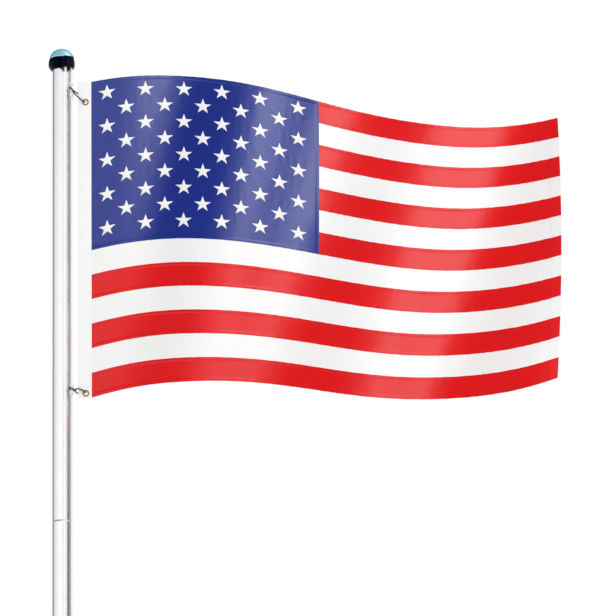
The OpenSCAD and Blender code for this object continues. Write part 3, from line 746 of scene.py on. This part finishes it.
def makeStripes():
    s = flagSet
    tall, gap, end = flagHoist / s["stripes"], s["gap"], s["run"]
    flyFold = (end - s["flyHem"], end + mm)
    red, white = [], []
    for i in range(s["stripes"]):
        start = s["cantonRun"] + gap if i < s["cantonStripes"] else gap
        top, bottom = i * tall, (i + 1) * tall
        isRed = i % 2 == 0
        folds, rows = [], []
        if isRed:
            upper = s["hem"] if i == 0 else s["seam"]
            lower = s["hem"] if i == s["stripes"] - 1 else s["seam"]
            folds = [(top - mm, top + upper), (bottom - lower, bottom + mm)]
            for edge, depth in ((top, upper), (bottom, -lower)):
                rows += [edge + depth * share for share in s["seamRows"]]
        blocks = [clothPanel(start, end, top + gap, bottom - gap, [flyFold], folds)]
        places = np.arange(start + 4 * mm, end - 2 * mm, s["stitchPitch"])
        for row in rows:
            blocks.append(seamStitches(places, np.full(len(places), row), False))
        heights = np.arange(top + 4 * mm, bottom - 3 * mm, s["stitchPitch"])
        for share in s["flyRows"]:
            blocks.append(seamStitches(np.full(len(heights), end - s["flyHem"] * share), heights, True))
        (red if isRed else white).extend(blocks)
    pieces = []
    for name, blocks, slot, finish, first in (
            ("stripesRed", red, "cloth_red", wovenPolyester("red"), 1),
            ("stripesWhite", white, "cloth_white", wovenPolyester("white"), 2)):
        verts, faces, uvs = gather(blocks)
        piece = addMesh(name, verts, faces, finish, uvs, "clothLay")
        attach(piece, "flag")
        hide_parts(*["stripe_%d" % n for n in range(first, s["stripes"] + 1, 2)])
        pieces.append(piece)
    return pieces


def makeCanton():
    s = flagSet
    wide, tall, gap = s["cantonRun"], flagHoist * s["cantonStripes"] / s["stripes"], s["gap"]
    folds = [(-mm, s["hem"]), (tall - s["seam"], tall + mm)]
    blocks = [clothPanel(gap, wide, gap, tall - gap, [(wide - s["seam"], wide + mm)], folds)]
    places = np.arange(4 * mm, wide - 3 * mm, s["stitchPitch"])
    outer, inner = s["seamRows"]
    for row in (s["hem"] * outer, tall - s["seam"] * outer, tall - s["seam"] * inner):
        blocks.append(seamStitches(places, np.full(len(places), row), False))
    heights = np.arange(4 * mm, tall - 3 * mm, s["stitchPitch"])
    for column in (inner, outer):
        blocks.append(seamStitches(np.full(len(heights), wide - s["seam"] * column), heights, True))
    verts, faces, uvs = gather(blocks)
    navy = wovenPolyester("navy")
    piece = addMesh("cantonCloth", verts, faces, navy, uvs, "clothLay")
    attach(piece, "flag")
    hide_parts("canton")
    return piece


# stars: fifty a side, embroidered in raised satin stitch
starSet = {"across": 49 * mm, "waist": 0.382, "rows": 9, "columns": 11, "rise": 1.1 * mm, "edgeSteps": 5,
           "sides": (0.069, 0.091), "ends": (0.081, 0.109),  # free canton before the first and after the last star
           "rings": (0.0, 0.35, 0.68, 0.9, 1.0), "ringRise": (1.0, 0.97, 0.86, 0.6, 0.0), "sunk": -0.4,
           "colour": "#fafafa", "shade": "#efefef", "roughness": 0.5,
           "thread": 1.3 * mm, "threadRelief": (0.4, 0.2 * mm)}  # drawn about three times as coarse as it is, to show


def satinThread():  # bright white embroidery, each arm's threads lying across it, with painted shade in the grooves between threads
    s = starSet
    finish, tree, shader = newFinish("satinStitchThread", s["colour"], 0.0, s["roughness"], Specular_IOR_Level=0.4,
                                     Sheen_Weight=0.1)
    lay = addNode(tree, "ShaderNodeUVMap", {"uv_map": "threadLay"})
    threads = addNode(tree, "ShaderNodeTexWave", {"Scale": bandScale(s["thread"]), "bands_direction": "X",
                                                  "Distortion": 0.5}, {"Vector": lay.outputs["UV"]})
    # painted shade: the pattern that raises the thread crowns gives them the white and the grooves between them the
    # darker tone
    surfacePattern(tree, shader, (threads.outputs["Fac"], s["shade"], s["colour"]),
                   (threads.outputs["Fac"], *s["threadRelief"]))
    return finish


def makeStars(name, node, sign, finish):
    s, f = starSet, flagSet
    radius = s["across"] / 2
    outline = []
    for k in range(10):
        r0, r1 = (radius * (1 if j % 2 == 0 else s["waist"]) for j in (k, k + 1))
        a0, a1 = math.pi * k / 5, math.pi * (k + 1) / 5
        p0 = np.array((r0 * math.sin(a0), -r0 * math.cos(a0)))
        p1 = np.array((r1 * math.sin(a1), -r1 * math.cos(a1)))
        outline += [p0 + (p1 - p0) * t / s["edgeSteps"] for t in range(s["edgeSteps"])]
    outline = np.array(outline)
    n = len(outline)
    middle = np.zeros((1, 2))
    spots = np.concatenate([middle] + [outline * ring for ring in s["rings"][1:]] + [outline, middle])
    rises = np.concatenate([s["ringRise"][:1]] + [np.full(n, rise) for rise in s["ringRise"][1:]]
                           + [np.full(n + 1, s["sunk"])])
    faces = [(0, 1 + k, 1 + (k + 1) % n) for k in range(n)]
    layers = len(s["rings"])
    for i in range(layers - 1):
        for k in range(n):
            a, b = 1 + i * n + k, 1 + i * n + (k + 1) % n
            faces.append((a, a + n, b + n, b))
    last, base = 1 + layers * n, 1 + (layers - 1) * n
    faces += [(last, base + (k + 1) % n, base + k) for k in range(n)]
    blocks = []
    across = f["cantonRun"] * np.linspace(s["sides"][0], 1 - s["sides"][1], s["columns"])
    downward = flagHoist * f["cantonStripes"] / f["stripes"] * np.linspace(s["ends"][0], 1 - s["ends"][1], s["rows"])
    for row in range(s["rows"]):
        for column in range(s["columns"]):
            if (row + column) % 2:
                continue
            x, y = across[column] + spots[:, 0], downward[row] + spots[:, 1]
            u, v = x / f["run"], y / flagHoist
            front = clothFrame(u, v)[2]
            lift = sign * (f["half"] + rises * s["rise"])
            verts = clothPoint(u, v) + front * (clothPucker(u, v) + lift)[:, None]
            reach = np.linalg.norm(spots, axis=1)
            blocks.append((verts, faces if sign < 0 else [face[::-1] for face in faces],
                           np.stack([reach, np.arctan2(spots[:, 1], spots[:, 0]) * radius], axis=1)))
    verts, sides, uvs = gather(blocks)
    piece = addMesh(name, verts, sides, finish, uvs, "threadLay", 70)
    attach(piece, "flag")
    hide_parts(node)
    return piece


aluminium, blackPlastic = anodisedAluminium(), mouldedBlack()
zinc, brass = patchyMetal("zincPlatedSteel"), patchyMetal("rolledBrass")
cast, oxide = patchyMetal("castAluminium"), patchyMetal("blackOxideSteel")
dress(aluminium, *["pole_section_%d" % i for i in range(1, 6)])
dress(blackPlastic, "truck_body")
dress(oxide, "sheave_pin")
dress(zinc, "sheave", "snap_hook_upper", "snap_hook_lower", "gate_upper", "gate_lower")
dress(brass, "grommet_top", "grommet_bottom")
dress(cast, "cleat")
domeShell()
makeScrews(zinc)
print("pole, truck and fittings done")

rope = braidedPolyester()
makeHalyard(rope)
makeWhipping("hitch_upper", "whippingUpper", rope)
makeWhipping("hitch_lower", "whippingLower", rope)
print("halyard done")

makeHeader(cottonCanvas())
redStripes, whiteStripes = makeStripes()
canton = makeCanton()
thread = satinThread()
frontStars = makeStars("starsFront", "stars_front", 1, thread)
backStars = makeStars("starsBack", "stars_back", -1, thread)
